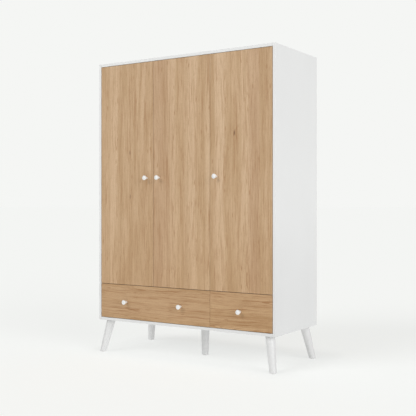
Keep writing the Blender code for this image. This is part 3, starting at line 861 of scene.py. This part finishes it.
def makeRunners(look=runnerLook):
    sheet, corner = look["sheet"], look["corner"]
    fixedRails, rollers = bmesh.new(), bmesh.new()
    drawers = ("wide_drawer", "narrow_drawer")
    members, wheels = {body: bmesh.new() for body in drawers}, {body: bmesh.new() for body in drawers}
    nodes = nodesWith("_runner_")
    for node in nodes:
        body = node.split("_runner")[0]
        low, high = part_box(node)
        flip = 1.0 if node.endswith("left") else -1.0
        wall = low.x if flip > 0 else high.x
        deep, tall = high.x - low.x, high.z - low.z
        section = [(deep, 0), (corner, 0), (0, corner), (0, tall - corner), (corner, tall), (deep, tall)]
        runnerSection(fixedRails, bentStrip(section, -sheet), low.y, high.y, flip, (wall, low.z))
        back, rise = look["frontRoller"]
        frontSpot = Vector((wall + flip * sheet, low.y + back, low.z + rise))
        addRoller(rollers, fixedRails, turnTo((flip, 0, 0), frontSpot), 0.0010, 0, 0.0068)
        for along in look["railScrews"]:
            spot = Vector((wall + flip * (sheet - bedding), low.y + along, low.z + look["railScrewRise"]))
            addScrew("carcass", spot, (flip, 0, 0), look["railHead"])

        # the drawer's member: flat on the drawer side, its flange turned in over the front roller
        sideLow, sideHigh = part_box(body + "_side_" + node.rsplit("_", 1)[1])
        face = sideLow.x if flip > 0 else sideHigh.x
        reach = abs(face - wall) - look["memberInset"]
        foot, roof = look["memberRise"]
        strip = [(reach, foot), (reach, roof - corner), (reach - corner, roof), (look["memberLip"], roof)]
        runnerSection(members[body], bentStrip(strip, sheet), low.y + look["memberShort"], high.y - look["memberShort"],
                      flip, (wall, low.z))
        back, above = look["rearRoller"]
        rearSpot = Vector((wall + flip * (reach - 0.0016), high.y - back, low.z + sheet + look["rollerRadius"] + above))
        addRoller(wheels[body], members[body], turnTo((-flip, 0, 0), rearSpot), 0.0006, -0.0004, 0.0062)
        for along in look["memberScrews"]:
            spot = Vector((wall + flip * (reach - sheet + bedding), low.y + along, low.z + look["memberScrewRise"]))
            addScrew(body, spot, (-flip, 0, 0), look["memberHead"])
    rails = makePiece("runner_rails", fixedRails, "enamel")
    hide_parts(*nodes)
    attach(rails, "carcass")
    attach(makePiece("runner_rollers", rollers, "nylon"), "carcass")
    for body, shape in members.items():
        member = makePiece(body + "_members", shape, "enamel")
        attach(member, body)
        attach(makePiece(body + "_rollers", wheels[body], "nylon"), body)


makeRunners()
print("runners made")


# small fittings, one shape each, set out over many places

fittingLook = {
    "boltHead": 0.0085, "nailHead": 0.0050, "nailPitch": 0.115, "nailInset": 0.0055, "capDiameter": 0.0170,
    "capInset": (0.034, 0.075),  # from a board's end, and from its front and back edge
    "bufferDiameter": 0.0065, "doorBufferInset": 0.014, "rightBufferInset": 0.0042,
    "rightBufferHeights": (0.560, 1.700), "drawerBufferHeight": 0.4563, "wideDrawerBuffers": (-0.6400, 0.1950),
    "narrowDrawerBuffers": (0.2420, 0.6400), "pinHole": 0.0050,
    "holeShade": 0.00024,  # thickness of the dark disc that stands for a hole
    "holeColumns": (-0.150, 0.230), "holeCount": 28,
    "holesBetween": 12,  # pitches from the lower loose shelf to the upper one
    "holesBelow": 7,  # pitches from the lowest hole to the lower shelf
    "holeDrop": 0.0026,  # from a shelf's underside to the middle of its hole
    "pinDrop": 0.0025, "pinLift": 0.0018, "pinTongue": (0.0085, 0.0075, 0.0018), "pinTongueReach": 0.0052,
    "pinTongueThick": 0.0016, "seed": 7,
}


def cutCross(head, floor):
    # a cross recess from floor upwards
    cross = bmesh.new()
    for wide, tall in ((0.46, 0.12), (0.12, 0.46)):
        x, y = wide / 2, tall / 2
        slab(cross, [(-x, -y), (x, -y), (x, y), (-x, y)], floor, 1.0, Matrix())
    cutter = addObject("crossCutter", toMesh("crossCutter", cross))
    cut = head.modifiers.new("cross", "BOOLEAN")
    cut.object, cut.operation, cut.solver, cut.use_self = cutter, "DIFFERENCE", "EXACT", True
    head.data = settled(head)
    bpy.data.objects.remove(cutter)


def patternObject(name, profile, steps, recess=0.0):
    # a unit head of diameter 1 with its seat at the origin, for the trees below
    shape = bmesh.new()
    lathe(shape, profile, steps, Matrix())
    bmesh.ops.recalc_face_normals(shape, faces=shape.faces[:])
    head = addObject(name, toMesh(name, shape))
    if recess:
        cutCross(head, recess)
    return head


def headTree():
    # sets the head on every point, along its facing, turned by chance
    inputs = {"Head": "Object", "Diameter": "Float", "Seed": "Int"}
    tree = Growth("setHeads", inputs)
    chance = {"Min": 0.0, "Max": 3.14, "Seed": tree.given("Seed")}
    spin = tree.node("FunctionNodeRandomValue", {"data_type": "FLOAT"}, chance, out=1)
    turn = tree.node("FunctionNodeAxisAngleToRotation", sockets={"Axis": (0, 0, 1), "Angle": spin})
    turns = {"Rotation": tree.facing(), "Rotate By": turn}
    both = tree.node("FunctionNodeRotateRotation", {"rotation_space": "LOCAL"}, turns)
    head = tree.node("GeometryNodeObjectInfo", sockets={"Object": tree.given("Head")}, out="Geometry")
    tree.close(tree.scatter(tree.given("Geometry"), head, Rotation=both, Scale=tree.given("Diameter")))
    return tree


def rowTree():
    # repeats each starting point up a row, and sets a shallow disc on every place
    inputs = {"Pitch": "Float", "Count": "Int", "Diameter": "Float"}
    tree = Growth("holeRows", inputs)
    step = tree.vector(z=tree.given("Pitch"))
    row = tree.node("GeometryNodeMeshLine", sockets={"Count": tree.given("Count"), "Offset": step})
    rows = tree.scatter(tree.given("Geometry"), row)
    places = tree.node("GeometryNodeRealizeInstances", sockets={"Geometry": rows})
    plug = tree.node("GeometryNodeMeshCylinder", {"fill_type": "NGON"}, {
        "Vertices": 18, "Side Segments": 1, "Radius": tree.given("Diameter") * 0.5, "Depth": fittingLook["holeShade"]})
    tree.close(tree.scatter(places, plug, Rotation=tree.facing()))
    return tree


def domed(height, steps=4):
    # a low dome of diameter 1 on a short upright edge
    edge = height * 0.25
    profile = [(0.0, 0.0), (0.5, 0.0), (0.5, edge)]
    for step in range(1, steps + 1):
        turn = math.pi / 2 * step / steps
        profile.append((0.5 * math.cos(turn), edge + (height - edge) * math.sin(turn)))
    profile[-1] = (0.0, height)
    return profile


def setHeads(name, points, finish, pattern, diameter):
    return heads.grow(name, points, finish, Head=patterns[pattern], Diameter=diameter, Seed=fittingLook["seed"])


def innerFace(body):
    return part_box(body if body.startswith("door") else body + "_front")[1].y


def setScrews():
    # bolts of the knobs, on the inner faces of doors and drawer fronts, join the screws gathered so far
    for node in nodesWith("_knob"):
        body = node.split("_knob")[0]
        low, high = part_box(node)
        spot = Vector(((low.x + high.x) / 2, innerFace(body) - bedding, (low.z + high.z) / 2))
        addScrew(body, spot, (0, 1, 0), fittingLook["boltHead"])
    for body, spots in screwSpots.items():
        for size in sorted({size for place, facing, size in spots}):
            points = [(place, facing) for place, facing, each in spots if each == size]
            label = "{}_screws_{:.0f}".format(body, size * 10000)
            screws = setHeads(label, points, "zinc", "screw", size)
            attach(screws, body)


def setNails(look=fittingLook):
    # round the edges of the back sheets
    inset = look["nailInset"]
    nails = []
    for node in ("back_sheet_left", "back_sheet_right"):
        low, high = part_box(node)
        for x0, z0, x1, z1 in ((low.x, low.z, high.x, low.z), (low.x, high.z, high.x, high.z),
                               (low.x, low.z, low.x, high.z), (high.x, low.z, high.x, high.z)):
            span = max(abs(x1 - x0), abs(z1 - z0)) - 2 * inset
            count = int(span / look["nailPitch"]) + 1
            for index in range(count):
                share = (index + 0.5) / count
                x = min(max(x0 + (x1 - x0) * share, low.x + inset), high.x - inset)
                z = min(max(z0 + (z1 - z0) * share, low.z + inset), high.z - inset)
                nails.append(((x, high.y - bedding, z), (0, 1, 0)))
    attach(setHeads("back_nails", nails, "zinc", "nail", look["nailHead"]), "carcass")


def setCaps(look=fittingLook):
    # over the cam fittings, under the top panel and under the two high shelves
    endInset, edgeInset = look["capInset"]
    walls = (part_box("side_panel_left")[1].x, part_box("side_panel_right")[0].x)
    caps = []
    for node in ("hat_shelf", "fixed_shelf", "top_panel"):
        low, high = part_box(node)
        ends = walls if node == "top_panel" else (low.x, high.x)
        for x in (ends[0] + endInset, ends[1] - endInset):
            for y in (low.y + edgeInset, high.y - edgeInset):
                caps.append(((x, y, low.z + bedding), (0, 0, -1)))
    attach(setHeads("cam_caps", caps, "nylon", "cap", look["capDiameter"]), "carcass")


def setBuffers(look=fittingLook):
    # on the moving fronts, where a fixed edge stands behind them
    doorLeft, doorMiddle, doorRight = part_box("door_left"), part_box("door_middle"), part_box("door_right")
    low = (doorLeft[0].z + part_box("deck_left")[1].z) / 2
    height = look["drawerBufferHeight"]
    stops = {
        "door_left": [(doorLeft[1].x - look["doorBufferInset"], low)],
        "door_middle": [(doorMiddle[0].x + look["doorBufferInset"], low)],
        "door_right": [(doorRight[0].x + look["rightBufferInset"], z) for z in look["rightBufferHeights"]],
        "wide_drawer": [(x, height) for x in look["wideDrawerBuffers"]],
        "narrow_drawer": [(x, height) for x in look["narrowDrawerBuffers"]],
    }
    for body, spots in stops.items():
        points = [((x, innerFace(body) - bedding, z), (0, 1, 0)) for x, z in spots]
        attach(setHeads(body + "_buffers", points, "buffer", "bumper", look["bufferDiameter"]), body)


def setShelfPins(look=fittingLook):
    # rows of holes for the loose shelves, and the pins under them
    walls = ((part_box("partition")[1].x, 1.0), (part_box("side_panel_right")[0].x, -1.0))
    columns = [(x, y, away) for x, away in walls for y in look["holeColumns"]]
    shelves = [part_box("loose_shelf_1")[0].z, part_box("loose_shelf_2")[0].z]
    pitch = (shelves[1] - shelves[0]) / look["holesBetween"]
    firstHole = shelves[0] - look["holeDrop"] - look["holesBelow"] * pitch
    starts = [((x, y, firstHole), (away, 0, 0)) for x, y, away in columns]
    rows = rowTree().grow("shelf_pin_holes", starts, "pinHole", Pitch=pitch, Count=look["holeCount"],
                          Diameter=look["pinHole"])
    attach(rows, "carcass")

    collar = softened([(0, 0, 0), (0.0042, 0, 0), (0.0042, 0.0012, 0.0005), (0.0024, 0.0016, 0.0002),
                       (0.0024, 0.0085, 0.0006), (0, 0.0085, 0)])
    tongue = roundedOutline(*look["pinTongue"])
    pins = bmesh.new()
    for shelf in shelves:
        under = shelf - bedding
        for x, y, away in columns:
            spot = Vector((x, y, under - look["pinDrop"])) - Vector((0, 0, look["pinLift"]))
            lathe(pins, collar, 24, turnTo((away, 0, 0), spot))
            beside = moved(x + away * look["pinTongueReach"], y, 0)
            slab(pins, tongue, under - look["pinTongueThick"], under, beside, 0.0004)
    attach(makePiece("shelf_pins", pins, "zinc"), "carcass")


capLine = [(0, 0, 0), (0.5, 0, 0), (0.5, 0.05, 0.03), (0.36, 0.06, 0.02), (0.33, 0.045, 0.02), (0, 0.045, 0)]
heads = headTree()
patterns = {
    "screw": patternObject("crossHead", domed(0.30), 18, 0.12),
    "nail": patternObject("nailHead", domed(0.16, 2), 10),
    "cap": patternObject("coverCap", softened(capLine, 2), 24),
    "bumper": patternObject("bumper", domed(0.21), 16),
}
setScrews()
setNails()
setCaps()
setBuffers()
setShelfPins()
for pattern in patterns.values():
    bpy.data.objects.remove(pattern)
print("fittings set out")


# stage, light and camera

stageLook = {
    "backdrop": (0.913, 0.921, 0.904),  # the seamless pale surround
    "ambient": 0.34,  # how much of it lights the piece
    "paper": (0.340, 0.343, 0.337),  # the floor
    "glow": (0.677, 0.684, 0.672),  # lifts the floor to the surround, so its shadows stay faint
    "shadowGlow": (0.618, 0.624, 0.614),  # a weaker glow below the carcass: a painted shadow on the floor
    "underMiddle": 0.10, "underReach": (0.60, 0.28), "underFade": 0.28, "floorReach": 400.0,
}
lampLook = {
    "keyLight": {"from": (-0.42, -0.95, 0.75), "strength": 1.03, "softness": 32.0},
    "sideLight": {"from": (0.90, -0.30, 0.36), "strength": 1.45, "softness": 44.0},
}
cameraLook = {
    "lens": 67.35, "shift": -0.00609, "place": (2.8055, -4.3056, 0.9857), "turn": (90.0, 0.0, 32.89),
}


def makeStage(look=stageLook):
    bpy.context.scene.view_settings.view_transform = "Standard"
    world = bpy.data.worlds.new("paleStudio")
    world.use_nodes = True
    bpy.context.scene.world = world
    sky = NodeSet(world.node_tree)
    seen = sky.node("ShaderNodeLightPath", out="Is Camera Ray")
    surround = world.node_tree.nodes["Background"]
    surround.inputs["Color"].default_value = (*look["backdrop"], 1.0)
    sky.tree.links.new((look["ambient"] + seen * (1.0 - look["ambient"])).socket, surround.inputs["Strength"])

    shape = bmesh.new()
    bmesh.ops.create_grid(shape, x_segments=1, y_segments=1, size=look["floorReach"])
    floor = addObject("floor", toMesh("floor", shape))
    paper = Finish("floorPaper", Roughness=0.95, Specular_IOR_Level=0.0, Emission_Strength=1.0)
    paper.shader.inputs["Base Color"].default_value = (*look["paper"], 1.0)
    # painted shadow: the weaker glow fills a rounded rectangle below the carcass and fades out from it
    x, y = paper.place()[:2]
    y = y - look["underMiddle"]
    outX = (x.size() - look["underReach"][0]).most(0.0)
    outY = (y.size() - look["underReach"][1]).most(0.0)
    under = (outX * outX + outY * outY).root().ramp(look["underFade"], 0.0)
    glow = paper.mix(under, look["glow"], look["shadowGlow"])
    floor.data.materials.append(paper.feed(Emission_Color=glow))


def makeLamps():
    for name, look in lampLook.items():
        data = bpy.data.lights.new(name, "SUN")
        data.energy = look["strength"]
        data.angle = math.radians(look["softness"])
        lamp = addObject(name, data)
        lamp.location = Vector(look["from"]) * 6.0
        lamp.rotation_euler = Vector(look["from"]).to_track_quat("Z", "Y").to_euler()


def makeCamera(look=cameraLook):
    data = bpy.data.cameras.new("studioCamera")
    data.lens = look["lens"]
    data.sensor_width = 36.0
    data.shift_y = look["shift"]
    data.dof.use_dof = False
    camera = addObject("studioCamera", data)
    camera.location = look["place"]
    camera.rotation_euler = [math.radians(angle) for angle in look["turn"]]
    bpy.context.scene.camera = camera


makeStage()
makeLamps()
makeCamera()
print("stage set")
